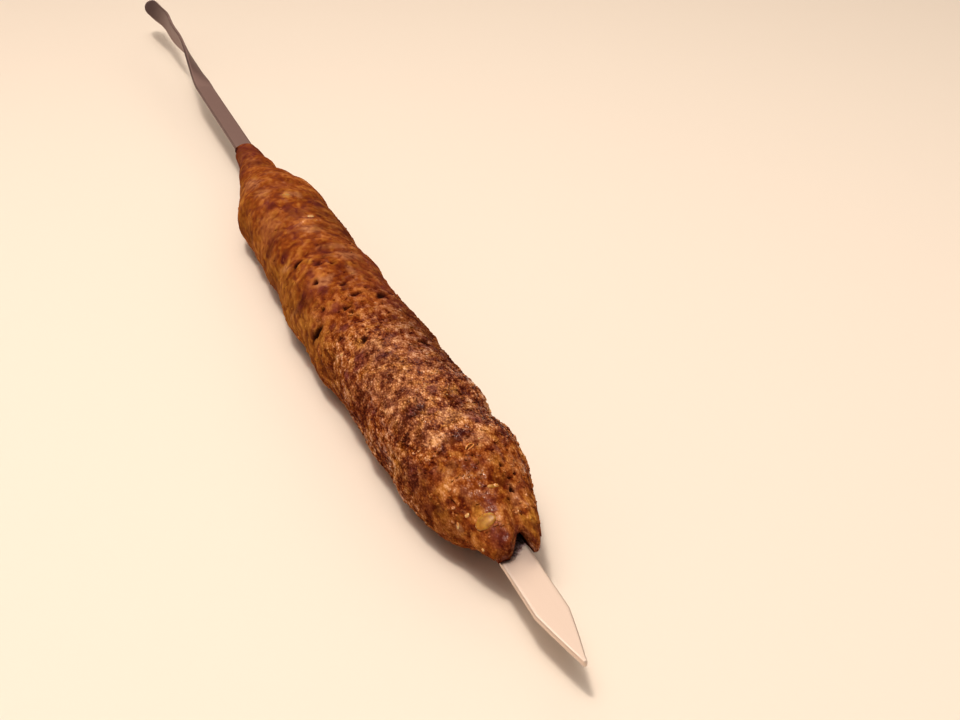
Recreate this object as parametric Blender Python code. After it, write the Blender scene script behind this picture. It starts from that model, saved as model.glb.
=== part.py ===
"""Kofta skewer: a hand-moulded roll of minced meat on a flat steel strip, lying on a table.

Axes: +X runs along the skewer towards its point, +Y across it, +Z up, and z = 0 is the table.
Lengths are in metres, written as millimetres times MM, and angles in degrees times DEGREE.
The meat rests on a flat band along its underside. The steel runs right through it in a channel
of its own shape, a little nearer the table at the point than at the handle.
"""

import math

import bpy
import numpy as np

MM = 0.001
DEGREE = math.pi / 180

# --- Steel strip -------------------------------------------------------------------------------
SKEWER_LENGTH = 580 * MM
STRIP_WIDTH = 8.2 * MM
STRIP_THICKNESS = 1.5 * MM
STRIP_CHAMFER = 0.45 * MM
POINT_HEIGHT = 9.5 * MM  # middle of the strip above the table, at its point
HANDLE_HEIGHT = 18.5 * MM  # and at the far end of the handle
POINT_LENGTH = 17 * MM  # from the shoulders of the blade to its tip
TIP_WIDTH = 0.8 * MM
POINT_BULGE = 0.16  # how far the sides of the point bow out, as a share of half the width
TAB_ROUNDING = 14 * MM  # length of the rounded end of the handle
TAB_END_SHARE = 0.25  # what is left of the width where the rounded end is blunted

# The strip's turn about its own length, in degrees, at distances back from the point in mm. It
# leaves the meat leaning a little, then turns on edge and over in two quick twists.
STRIP_TURNS = (
    (0, 0),
    (60, 0),
    (330, -13),
    (412, -13),
    (440, -43),
    (470, -70),
    (492, -88),
    (520, -98),
    (546, -112),
    (580, -140),
)
# How far the twisting has pushed the handle off the line of the blade, sideways and upwards, in
# mm, at distances back from the point in mm.
HANDLE_WEAVE = (
    (412, 0.0, 0.0),
    (440, 0.9, 1.2),
    (474, 2.0, 2.5),
    (505, 1.5, 1.8),
    (528, 1.9, 2.3),
    (550, 0.9, 1.2),
    (580, -0.3, -0.3),
)

POINT_RINGS = 6
STRAIGHT_RING_STEP = 30 * MM
TWIST_START = 408 * MM
TWIST_RING_STEP = 4 * MM
TAB_RINGS = 8

# --- Meat --------------------------------------------------------------------------------------
# The roll as the hand left it, in mm: a place along X, how far the middle lies to the side of
# the blade's line, the width, and the heights of the top and the underside above the table.
# Undersides below zero are pressed flat on the table.
ROLL_PROFILE = (
    (-34, 0.0, 9.9, 17.7, 11.6),
    (-20, -0.4, 11.0, 18.6, 10.4),
    (-5, -1.2, 14.6, 20.0, 7.2),
    (15, -2.0, 22.4, 23.4, 1.9),
    (38, -2.1, 30.6, 26.6, -0.5),
    (70, -2.8, 30.2, 27.4, -0.6),
    (100, -2.9, 31.0, 28.0, -0.6),
    (130, -3.5, 32.0, 28.8, -0.6),
    (160, -2.3, 31.4, 28.7, -0.6),
    (190, -1.4, 30.4, 28.2, -0.6),
    (214, -0.8, 30.2, 27.2, -0.5),
    (232, -0.1, 25.4, 24.4, 1.9),
    (242, 0.2, 18.4, 20.4, 5.2),
    (248, 0.1, 11.4, 16.6, 8.0),
)
SECTION_EXPONENT = 2.25  # 2 would be an ellipse: a little more is the fuller, squeezed section
RING_POINTS = 40
ROLL_RINGS = 60
END_CROWDING = 0.6  # 0 spaces the rings evenly, and 1 draws them towards the ends the most

# Single lumps and hollows of the moulding: a place along X in mm, the angle round the section in
# degrees from +Y towards the top, the height in mm (a hollow is negative), and the length along X
# in mm and the angle round the section over which it dies away.
LUMPS = (
    (2, 30, -0.8, 10, 45),
    (32, 30, 0.5, 9, 40),
    (57, 205, -0.5, 9, 40),
    (92, 205, -0.6, 8, 40),
    (113, 205, 0.8, 9, 40),
    (124, 205, -0.7, 7, 35),
    (131, 30, -0.7, 9, 40),
    (138, 205, 0.5, 8, 40),
    (168, 205, -0.8, 11, 40),
    (190, 205, 0.6, 8, 35),
    (206, 25, -0.9, 5, 40),
    (218, 20, 1.0, 8, 40),
    (222, 205, 0.6, 8, 35),
)

# Creases where one squeeze of the hand ends and the next begins: the place along X of their ends
# beside the roll, how much further forward they run over the top, their depth and the length
# along X over which they die away, all in mm.
CREASES = (
    (112, 8, 0.5, 5),
    (199, 15, 0.8, 5),
)

# Low waves left by squeezing the meat along the steel: the wavelength along X in mm, the waves
# round the section, the height in mm, and the phase in degrees.
SQUEEZE_WAVES = (
    (63, 1, 0.30, 20),
    (41, 2, 0.30, 130),
    (29, -1, 0.28, 250),
    (23, 3, 0.26, 75),
    (17, -2, 0.22, 310),
    (13, 4, 0.18, 190),
)
WAVE_FADE = 22 * MM  # the waves die away over this length at each end

# The channel for the steel, and the mouth where the blade comes out: the meat stands off the
# right half of the blade, hangs over its left half as a lobe and beside its right edge as a flap.
CHANNEL_GAP = 0.35 * MM
CHANNEL_EXPONENT = 8
CHANNEL_RINGS = 10
MOUTH_LIFT = 3.8 * MM
MOUTH_CENTRE = 1.7 * MM
MOUTH_HALF_WIDTH = 3.2 * MM
MOUTH_DEPTH = 8 * MM
MOUTH_RINGS = 5
LOBE_REACH = 4.4 * MM
FLAP_REACH = 4.8 * MM
UNDERLIP_SET_BACK = 3.0 * MM
LIP_LENGTH = 9 * MM  # the length at the mouth over which the lobe and the flap grow

STEEL_COLOUR = (0.52, 0.44, 0.41, 1)
MEAT_COLOUR = (0.27, 0.085, 0.025, 1)

SKEWER_TILT = math.asin((HANDLE_HEIGHT - POINT_HEIGHT) / SKEWER_LENGTH)
POINT_X = SKEWER_LENGTH * math.cos(SKEWER_TILT) / 2


def smooth_step(value):
    """Ease from 0 to 1 with level ends for values from 0 to 1, and hold outside them."""
    value = np.clip(value, 0.0, 1.0)
    return value * value * (3.0 - 2.0 * value)


def smooth_table(rows, places):
    """Read a table's columns at the given places with a cubic that never overshoots its rows."""
    rows = np.asarray(rows, dtype=float)
    at, values = rows[:, 0], rows[:, 1:]
    steps = np.diff(at)[:, None]
    slopes = np.diff(values, axis=0) / steps
    before, after = slopes[:-1], slopes[1:]
    same_way = before * after > 0
    near, far = 2 * steps[1:] + steps[:-1], steps[1:] + 2 * steps[:-1]
    blend = near / np.where(same_way, before, 1.0) + far / np.where(same_way, after, 1.0)
    inner = np.where(same_way, (near + far) / blend, 0.0)
    tangents = np.concatenate([slopes[:1], inner, slopes[-1:]])
    places = np.clip(np.asarray(places, dtype=float), at[0], at[-1])
    cell = np.clip(np.searchsorted(at, places, side="right") - 1, 0, len(at) - 2)
    share = ((places - at[cell]) / np.diff(at)[cell])[:, None]
    rest = 1 - share
    return (
        (1 + 2 * share) * rest**2 * values[cell]
        + share * rest**2 * steps[cell] * tangents[cell]
        + share**2 * (3 - 2 * share) * values[cell + 1]
        - share**2 * rest * steps[cell] * tangents[cell + 1]
    )


def superellipse(angles, exponent):
    """The cosine and sine of the angles, drawn out towards the corners of a square."""
    across, up = np.cos(angles), np.sin(angles)
    power = 2.0 / exponent
    return np.sign(across) * np.abs(across) ** power, np.sign(up) * np.abs(up) ** power


def new_object(name, vertices, faces, colour, metallic, roughness, collection):
    """Make a named mesh object with a material of its own, and put it in the collection."""
    mesh = bpy.data.meshes.new(name)
    mesh.from_pydata(vertices.reshape(-1, 3).tolist(), [], faces)
    mesh.validate()
    mesh.shade_smooth()
    mesh.set_sharp_from_angle(angle=35 * DEGREE)
    material = bpy.data.materials.new(name)
    material.use_nodes = True
    shader = material.node_tree.nodes["Principled BSDF"]
    shader.inputs["Base Color"].default_value = colour
    shader.inputs["Metallic"].default_value = metallic
    shader.inputs["Roughness"].default_value = roughness
    mesh.materials.append(material)
    item = bpy.data.objects.new(name, mesh)
    collection.objects.link(item)
    return item


def wall_faces(rings, points, closed=False):
    """The four-sided faces between neighbouring rings, and from the last to the first if closed."""
    faces = []
    for ring in range(rings if closed else rings - 1):
        here, there = ring * points, (ring + 1) % rings * points
        for point in range(points):
            after = (point + 1) % points
            faces.append((here + point, here + after, there + after, there + point))
    return faces


def strip_turn(back):
    """The strip's turn about its own length, in radians, at distances back from the point."""
    return smooth_table(STRIP_TURNS, back / MM)[:, 0] * DEGREE


def strip_height(x):
    """The height above the table of the middle of the strip's straight part, at places along X."""
    return POINT_HEIGHT + (POINT_X - x) * math.tan(SKEWER_TILT)


def strip_half_width(back):
    """Half the strip's width: an ogive point, a straight blade and a rounded end."""
    share = np.clip(back / POINT_LENGTH, 0.0, 1.0)
    ogive = share * (1 + POINT_BULGE * (1 - share))
    half = TIP_WIDTH / 2 + (STRIP_WIDTH - TIP_WIDTH) / 2 * ogive
    past = np.clip((back - SKEWER_LENGTH + TAB_ROUNDING) / TAB_ROUNDING, 0.0, 1.0)
    return half * np.sqrt(1 - (1 - TAB_END_SHARE**2) * past**2)


def strip_places():
    """Distances back from the point of the strip's sections, from the handle's end forwards."""
    tab_start = SKEWER_LENGTH - TAB_ROUNDING
    point = np.linspace(0, POINT_LENGTH, POINT_RINGS)
    straight = np.arange(POINT_LENGTH + STRAIGHT_RING_STEP, TWIST_START, STRAIGHT_RING_STEP)
    twisted = np.arange(TWIST_START, tab_start, TWIST_RING_STEP)
    rounded = tab_start + TAB_ROUNDING * np.sin(np.linspace(0, math.pi / 2, TAB_RINGS))
    return np.concatenate([point, straight, twisted, rounded])[::-1]


def make_skewer(collection):
    """The steel strip, with its point at its own origin, tilted as it lies in the meat."""
    back = strip_places()
    half = strip_half_width(back)[:, None]
    chamfer = np.minimum(STRIP_CHAMFER, half / 2)
    side = np.array([1, 1, 1, 1, -1, -1, -1, -1])
    face = np.array([-1, -1, 1, 1, 1, 1, -1, -1])
    at_edge = np.array([0, 1, 1, 0, 0, 1, 1, 0])
    across = side * (half - chamfer * (1 - at_edge))
    up = face * (STRIP_THICKNESS / 2 - chamfer * at_edge)
    turn = strip_turn(back)[:, None]
    weave = smooth_table(HANDLE_WEAVE, back / MM) * MM
    y = across * np.cos(turn) - up * np.sin(turn) + weave[:, :1]
    z = across * np.sin(turn) + up * np.cos(turn) + weave[:, 1:]
    sections = np.stack([np.broadcast_to(-back[:, None], y.shape), y, z], axis=-1)

    rings, points = y.shape
    faces = wall_faces(rings, points)
    faces.append(tuple(reversed(range(points))))
    faces.append(tuple(range((rings - 1) * points, rings * points)))
    skewer = new_object("skewer", sections, faces, STEEL_COLOUR, 1.0, 0.3, collection)
    skewer.location = (POINT_X, 0, POINT_HEIGHT)
    skewer.rotation_euler = (0, SKEWER_TILT, 0)
    return skewer


def roll_places():
    """Places along X of the roll's sections, crowded towards its ends."""
    even = np.linspace(0, 1, ROLL_RINGS)
    eased = (1 - np.cos(math.pi * even)) / 2
    share = even + END_CROWDING * (eased - even)
    start, end = ROLL_PROFILE[0][0] * MM, ROLL_PROFILE[-1][0] * MM
    return start + share * (end - start)


def moulding(x, angles):
    """How far the hand's lumps and waves stand proud of the plain roll, at places and angles."""
    start, end = ROLL_PROFILE[0][0] * MM, ROLL_PROFILE[-1][0] * MM
    proud = np.zeros((len(x), len(angles)))
    for length, turns, height, phase in SQUEEZE_WAVES:
        along = x[:, None] / (length * MM) * 2 * math.pi
        proud += height * MM * np.sin(along + turns * angles + phase * DEGREE)
    proud *= (smooth_step((x - start) / WAVE_FADE) * smooth_step((end - x) / WAVE_FADE))[:, None]
    for place, forward, depth, length in CREASES:
        over = place + forward * np.clip(np.sin(angles), 0.0, 1.0)
        along = (x[:, None] / MM - over) / length
        proud -= depth * MM * np.exp(-(along**2)) * smooth_step(1 + np.sin(angles))
    for place, angle, height, length, spread in LUMPS:
        along = (x[:, None] / MM - place) / length
        apart = (angles - angle * DEGREE + math.pi) % (2 * math.pi) - math.pi
        proud += height * MM * np.exp(-(along**2) - (apart / (spread * DEGREE)) ** 2)
    return proud


def outer_sections(angles):
    """The roll's outer skin as sections across X: squeezed ellipses, lumpy and flat beneath."""
    x = roll_places()
    middle, width, top, underside = (smooth_table(ROLL_PROFILE, x / MM) * MM).T[:, :, None]
    across, up = superellipse(angles, SECTION_EXPONENT)
    proud = moulding(x, angles)
    y = middle + width / 2 * across + proud * np.cos(angles)
    z = (top + underside) / 2 + (top - underside) / 2 * up + proud * np.sin(angles)
    growth = smooth_step(1 - (x[-1] - x) / LIP_LENGTH)[:, None]
    x = x[:, None] + growth * lip_reach(y, z - strip_height(x[:, None]))
    return np.stack([x, y, np.maximum(z, 0.0)], axis=-1)


def lip_reach(y, above):
    """How far the lip reaches forward: a lobe on the left, a flap on the right, less beneath."""
    lobe = LOBE_REACH * smooth_step((1.0 * MM - y) / (3 * MM))
    flap = FLAP_REACH * smooth_step((y - 3.0 * MM) / (2 * MM))
    beneath = smooth_step((1.0 * MM - above) / (3 * MM))
    return (lobe + flap) * (1 - beneath) - UNDERLIP_SET_BACK * beneath


def channel_sections(angles):
    """The channel round the steel, from the mouth, where it opens upwards, to the far end."""
    start, end = ROLL_PROFILE[0][0] * MM, ROLL_PROFILE[-1][0] * MM
    mouth = end - MOUTH_DEPTH * np.linspace(0, 1, MOUTH_RINGS)
    x = np.concatenate([mouth, np.linspace(mouth[-1], start, CHANNEL_RINGS + 1)[1:]])
    along, up = superellipse(angles, CHANNEL_EXPONENT)
    along = along * (STRIP_WIDTH / 2 + CHANNEL_GAP)
    up = up * (STRIP_THICKNESS / 2 + CHANNEL_GAP)
    turn = strip_turn((POINT_X - x) / math.cos(SKEWER_TILT))[:, None]
    y = along * np.cos(turn) - up * np.sin(turn)
    z = along * np.sin(turn) + up * np.cos(turn)
    opening = smooth_step(1 - (end - x) / MOUTH_DEPTH)[:, None]
    arch = smooth_step(1 - np.abs(y - MOUTH_CENTRE) / MOUTH_HALF_WIDTH)
    z = z + MOUTH_LIFT * opening * arch * (np.sin(angles) > 0)
    reach = opening * lip_reach(y, z)
    return np.stack([x[:, None] + reach, y, z + strip_height(x[:, None])], axis=-1)


def make_meat(collection):
    """The roll: its outer skin and the wall of its channel, joined at both mouths."""
    angles = np.arange(RING_POINTS) / RING_POINTS * 2 * math.pi
    sections = np.concatenate([outer_sections(angles), channel_sections(angles)])
    faces = wall_faces(len(sections), RING_POINTS, closed=True)
    return new_object("kofta_meat", sections, faces, MEAT_COLOUR, 0.0, 0.6, collection)


def main():
    """Clear the scene and build the skewer and its meat in one collection."""
    for item in list(bpy.data.objects):
        bpy.data.objects.remove(item, do_unlink=True)
    collection = bpy.data.collections.new("kofta_skewer")
    bpy.context.scene.collection.children.link(collection)
    make_skewer(collection)
    make_meat(collection)


main()
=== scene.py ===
"""Looks of a grilled kofta on its flat steel skewer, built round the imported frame.

Axes are the frame's: +X runs along the skewer towards its point, +Y across it, +Z up, and the
meat lies on z = 0. Lengths are metres, written as millimetres times MM, and angles are degrees
times DEGREE. The roll and the strip are surfaces of two parameters, worked out as whole arrays:
a place along X, and an angle round the section counted from +Y towards the top.
"""

import logging
import math
from dataclasses import dataclass
from enum import Enum
from itertools import product

import bpy
import numpy as np
from mathutils import Matrix, Vector


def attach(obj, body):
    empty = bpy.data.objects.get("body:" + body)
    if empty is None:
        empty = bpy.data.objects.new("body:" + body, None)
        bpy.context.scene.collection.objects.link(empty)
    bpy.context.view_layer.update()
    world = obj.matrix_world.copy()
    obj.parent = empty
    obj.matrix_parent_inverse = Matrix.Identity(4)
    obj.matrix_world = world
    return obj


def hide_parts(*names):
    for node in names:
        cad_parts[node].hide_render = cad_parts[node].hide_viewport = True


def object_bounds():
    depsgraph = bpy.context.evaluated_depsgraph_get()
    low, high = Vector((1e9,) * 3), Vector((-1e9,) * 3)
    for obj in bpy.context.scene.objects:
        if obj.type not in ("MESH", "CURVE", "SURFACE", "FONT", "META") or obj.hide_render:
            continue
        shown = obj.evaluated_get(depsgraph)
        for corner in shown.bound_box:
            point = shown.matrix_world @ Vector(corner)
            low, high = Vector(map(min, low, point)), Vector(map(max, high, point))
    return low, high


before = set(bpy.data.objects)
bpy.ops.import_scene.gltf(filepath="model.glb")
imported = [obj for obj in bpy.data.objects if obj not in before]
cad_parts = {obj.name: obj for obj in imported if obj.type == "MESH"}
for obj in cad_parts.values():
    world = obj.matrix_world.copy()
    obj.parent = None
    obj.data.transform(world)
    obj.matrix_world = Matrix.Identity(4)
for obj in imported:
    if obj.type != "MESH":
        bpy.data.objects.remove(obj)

MM = 0.001
DEGREE = math.pi / 180
CAD_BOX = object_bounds()
BODY = "root"

Array = np.ndarray
log = logging.getLogger("kofta_skewer")


# --- Numbers and arrays ------------------------------------------------------------------------


def linear_colour(code: str) -> tuple[float, float, float, float]:
    """Turn an sRGB hex colour into the linear colour that the shaders work with.

    Args:
        code: Six hex digits, with or without a leading hash.

    Returns:
        Red, green, blue and an alpha of 1.
    """
    digits = code.lstrip("#")
    channels = [int(digits[place : place + 2], 16) / 255 for place in (0, 2, 4)]
    red, green, blue = (
        channel / 12.92 if channel <= 0.04045 else ((channel + 0.055) / 1.055) ** 2.4
        for channel in channels
    )
    return red, green, blue, 1.0


def smooth_step(value: Array) -> Array:
    """Ease from 0 to 1 with level ends, as three squares less two cubes, and hold outside."""
    value = np.clip(value, 0.0, 1.0)
    return value * value * (3.0 - 2.0 * value)


def smooth_table(rows: tuple, places: Array) -> Array:
    """Read a table with a cubic that never overshoots its rows.

    Each stretch is a Hermite cubic. The slope at a row is the weighted harmonic mean of the
    slopes on both sides, or nothing where they differ in sign.

    Args:
        rows: Rows whose first number is the place and whose others are the values there.
        places: Places of any shape to read the table at, held to the table's ends.

    Returns:
        The values, with one more dimension than the places.
    """
    table = np.asarray(rows, dtype=float)
    at, values = table[:, 0], table[:, 1:]
    steps = np.diff(at)[:, None]
    slopes = np.diff(values, axis=0) / steps
    before, after = slopes[:-1], slopes[1:]
    same_way = before * after > 0
    near, far = 2 * steps[1:] + steps[:-1], steps[1:] + 2 * steps[:-1]
    blend = near / np.where(same_way, before, 1.0) + far / np.where(same_way, after, 1.0)
    inner = np.where(same_way, (near + far) / blend, 0.0)
    tangents = np.concatenate([slopes[:1], inner, slopes[-1:]])
    places = np.clip(np.asarray(places, dtype=float), at[0], at[-1])
    cell = np.clip(np.searchsorted(at, places, side="right") - 1, 0, len(at) - 2)
    share = ((places - at[cell]) / np.diff(at)[cell])[..., None]
    rest = 1 - share
    return (
        (1 + 2 * share) * rest**2 * values[cell]
        + share * rest**2 * steps[cell] * tangents[cell]
        + share**2 * (3 - 2 * share) * values[cell + 1]
        - share**2 * rest * steps[cell] * tangents[cell + 1]
    )


def superellipse(angles: Array, exponent: float) -> tuple[Array, Array]:
    """The cosine and sine of the angles, each drawn out to the power two over the exponent."""
    across, up = np.cos(angles), np.sin(angles)
    power = 2.0 / exponent
    return np.sign(across) * np.abs(across) ** power, np.sign(up) * np.abs(up) ** power


def turn_apart(angles: Array, angle: float) -> Array:
    """The turn from an angle to each of the angles, the short way round, in radians."""
    return (angles - angle + math.pi) % (2 * math.pi) - math.pi


def unit(vectors: Array) -> Array:
    """The vectors drawn to a length of 1."""
    return vectors / np.maximum(np.linalg.norm(vectors, axis=-1, keepdims=True), 1e-12)


def cell_random(cells: Array, seed: int) -> Array:
    """Give each whole-number cell its own repeatable number from 0 to 1.

    The coordinates are multiplied by large odd numbers and added, and the sum is mixed by shifts
    and multiplications of 32-bit whole numbers.

    Args:
        cells: Whole numbers, three to a cell, in the last dimension.
        seed: A number that gives another set.

    Returns:
        One number for each cell.
    """
    mixed = cells.astype(np.int64) @ np.array([73856093, 19349663, 83492791], dtype=np.int64)
    mixed = (mixed + seed * 2654435761).astype(np.uint32)
    for shift, factor in ((16, 0x7FEB352D), (15, 0x846CA68B)):
        mixed ^= mixed >> np.uint32(shift)
        mixed *= np.uint32(factor)
    mixed ^= mixed >> np.uint32(16)
    return mixed / float(0xFFFFFFFF)


def soft_noise(points: Array, wavelength: float, seed: int) -> Array:
    """Gradient noise: slopes drawn for the corners of a lattice, blended by a quintic ease.

    Args:
        points: Points in space, in metres.
        wavelength: The lattice's spacing in metres.
        seed: A number that gives another pattern.

    Returns:
        Numbers from about -1 to 1, one for each point.
    """
    places = points / wavelength
    cell = np.floor(places).astype(np.int64)
    share = places - cell
    ease = share**3 * (share * (share * 6 - 15) + 10)
    total = np.zeros(points.shape[:-1])
    for corner in product((0, 1), repeat=3):
        corner = np.array(corner)
        slope = [cell_random(cell + corner, 3 * seed + axis) * 2 - 1 for axis in range(3)]
        weight = np.where(corner == 1, ease, 1 - ease).prod(axis=-1)
        total += weight * ((share - corner) * np.stack(slope, axis=-1)).sum(axis=-1)
    return total * 1.7


def layered_noise(points: Array, wavelength: float, layers: int, seed: int) -> Array:
    """Soft noise with finer layers, each half as long and half as strong as the last.

    Args:
        points: Points in space, in metres.
        wavelength: The wavelength of the coarsest layer in metres.
        layers: How many layers there are.
        seed: A number that gives another pattern.

    Returns:
        Numbers from about -1 to 1, one for each point.
    """
    strengths = 0.5 ** np.arange(layers)
    parts = [
        strength * soft_noise(points, wavelength * 0.5**layer, seed + layer)
        for layer, strength in enumerate(strengths)
    ]
    return sum(parts) / strengths.sum() * 1.3


def nearest_seed(points: Array, spacing: float, seed: int) -> tuple[Array, Array]:
    """Find the nearest of many seeds, one thrown at random into each cell of a lattice.

    Args:
        points: Points in space, in metres.
        spacing: The lattice's spacing in metres.
        seed: A number that gives other seeds.

    Returns:
        The distance to the nearest seed in spacings, and that seed's own number from 0 to 1.
    """
    places = points / spacing
    cell = np.floor(places).astype(np.int64)
    nearest = np.full(points.shape[:-1], 9.0)
    own = np.zeros(points.shape[:-1])
    for step in product((-1, 0, 1), repeat=3):
        other = cell + np.array(step)
        throw = [cell_random(other, 5 * seed + axis) for axis in range(3)]
        apart = np.linalg.norm(other + np.stack(throw, axis=-1) - places, axis=-1)
        closer = apart < nearest
        own = np.where(closer, cell_random(other, 5 * seed + 3), own)
        nearest = np.where(closer, apart, nearest)
    return nearest, own


# --- Meshes ------------------------------------------------------------------------------------


def grid_faces(rings: int, points: int, closed: bool = False) -> Array:
    """The four-sided faces between neighbouring rings of points.

    Args:
        rings: How many rings there are.
        points: How many points there are in a ring.
        closed: Whether the last ring joins the first.

    Returns:
        Four vertex numbers for each face.
    """
    ring = np.arange(rings if closed else rings - 1)[:, None]
    point = np.arange(points)[None, :]
    here, there = ring * points, (ring + 1) % rings * points
    after = (point + 1) % points
    corners = [here + point, here + after, there + after, there + point]
    return np.stack(corners, axis=-1).reshape(-1, 4)


def new_piece(
    name: str,
    vertices: Array,
    faces: list,
    material: bpy.types.Material,
    attributes: dict[str, Array] | None = None,
) -> bpy.types.Object:
    """Make a smooth mesh object at the origin that rides on the skewer's one body.

    Args:
        name: The piece's name.
        vertices: Points in the frame, in metres.
        faces: Vertex numbers of each face, counted so that the face points outwards.
        material: The piece's finish.
        attributes: Numbers for the material to read, one for each vertex, by name.

    Returns:
        The new object.
    """
    mesh = bpy.data.meshes.new(name)
    mesh.from_pydata(vertices.reshape(-1, 3).tolist(), [], faces)
    mesh.validate()
    mesh.shade_smooth()
    for title, numbers in (attributes or {}).items():
        layer = mesh.attributes.new(title, "FLOAT", "POINT")
        layer.data.foreach_set("value", np.asarray(numbers, dtype=np.float32).ravel())
    mesh.materials.append(material)
    piece = bpy.data.objects.new(name, mesh)
    bpy.context.scene.collection.objects.link(piece)
    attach(piece, BODY)
    return piece


def add_node(
    tree: bpy.types.NodeTree,
    kind: str,
    inputs: dict | None = None,
    stops: tuple = (),
    **settings: object,
) -> bpy.types.Node:
    """Add a node, with its settings, its inputs and, on a colour ramp, its stops.

    Args:
        tree: The node tree.
        kind: The node's type.
        inputs: A socket to link or a value to set, by the input's name or number.
        stops: Places and hex colours of a colour ramp.
        settings: The node's own properties.

    Returns:
        The new node.
    """
    node = tree.nodes.new(kind)
    for title, value in settings.items():
        setattr(node, title, value)
    for title, value in (inputs or {}).items():
        if isinstance(value, bpy.types.NodeSocket):
            tree.links.new(value, node.inputs[title])
        else:
            node.inputs[title].default_value = value
    for number, (place, code) in enumerate(stops):
        ramp = node.color_ramp.elements
        stop = ramp[number] if number < len(ramp) else ramp.new(place)
        stop.position, stop.color = place, linear_colour(code)
    return node


def new_material(name: str) -> tuple[bpy.types.Material, bpy.types.NodeTree]:
    """Make a material with nothing in its node tree but the output."""
    material = bpy.data.materials.new(name)
    material.use_nodes = True
    material.node_tree.nodes.clear()
    return material, material.node_tree


def weighted_sum(tree: bpy.types.NodeTree, start: float, terms: tuple) -> bpy.types.NodeSocket:
    """Chain multiply-add nodes that add sockets, each times its weight, to a first number.

    Args:
        tree: The node tree.
        start: The first number.
        terms: Pairs of a socket and its weight, which may be a socket too.

    Returns:
        The sum's socket.
    """
    total = start
    for socket, weight in terms:
        inputs = {0: socket, 1: weight, 2: total}
        total = add_node(tree, "ShaderNodeMath", inputs, operation="MULTIPLY_ADD").outputs[0]
    return total


# --- Forms -------------------------------------------------------------------------------------


@dataclass(frozen=True)
class StripForm:
    """The flat steel strip: how wide it is, and how it slopes, leans and twists."""

    length: float = 580 * MM
    width: float = 8.2 * MM
    thickness: float = 1.5 * MM
    edge_radius: float = 0.4 * MM
    point_height: float = 9.5 * MM  # middle of the strip above the table, at its point
    handle_height: float = 18.5 * MM  # and at the far end of the handle
    point_length: float = 17 * MM
    tip_width: float = 0.8 * MM
    point_bulge: float = 0.16
    tab_rounding: float = 14 * MM
    tab_end_share: float = 0.25
    # Turn about the strip's own length, in degrees, at distances back from the point in mm.
    turns: tuple = (
        (0, 0),
        (60, 0),
        (330, -13),
        (412, -13),
        (440, -43),
        (470, -70),
        (492, -88),
        (520, -98),
        (546, -112),
        (580, -140),
    )
    # How far the twisting has pushed the handle aside and up, in mm.
    weave: tuple = (
        (412, 0.0, 0.0),
        (440, 0.9, 1.2),
        (474, 2.0, 2.5),
        (505, 1.5, 1.8),
        (528, 1.9, 2.3),
        (550, 0.9, 1.2),
        (580, -0.3, -0.3),
    )

    @property
    def tilt(self) -> float:
        """The slope down to the point, in radians."""
        return math.asin((self.handle_height - self.point_height) / self.length)

    @property
    def point_x(self) -> float:
        """Where the point lies along X, with the strip's middle over the origin."""
        return self.length * math.cos(self.tilt) / 2

    def back_from(self, x: Array) -> Array:
        """Distances back from the point along the strip, at places along X."""
        return (self.point_x - x) / math.cos(self.tilt)

    def height(self, x: Array) -> Array:
        """The height of the strip's middle above the table, at places along X."""
        return self.point_height + (self.point_x - x) * math.tan(self.tilt)

    def turn(self, back: Array) -> Array:
        """The turn about the strip's own length in radians, at distances back."""
        return smooth_table(self.turns, back / MM)[..., 0] * DEGREE

    def half_width(self, back: Array) -> Array:
        """Half the width: an ogive point, a straight blade and a rounded, blunted end."""
        share = np.clip(back / self.point_length, 0.0, 1.0)
        ogive = share * (1 + self.point_bulge * (1 - share))
        half = self.tip_width / 2 + (self.width - self.tip_width) / 2 * ogive
        past = (back - self.length + self.tab_rounding) / self.tab_rounding
        past = np.clip(past, 0.0, 1.0)
        return half * np.sqrt(1 - (1 - self.tab_end_share**2) * past**2)


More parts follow.
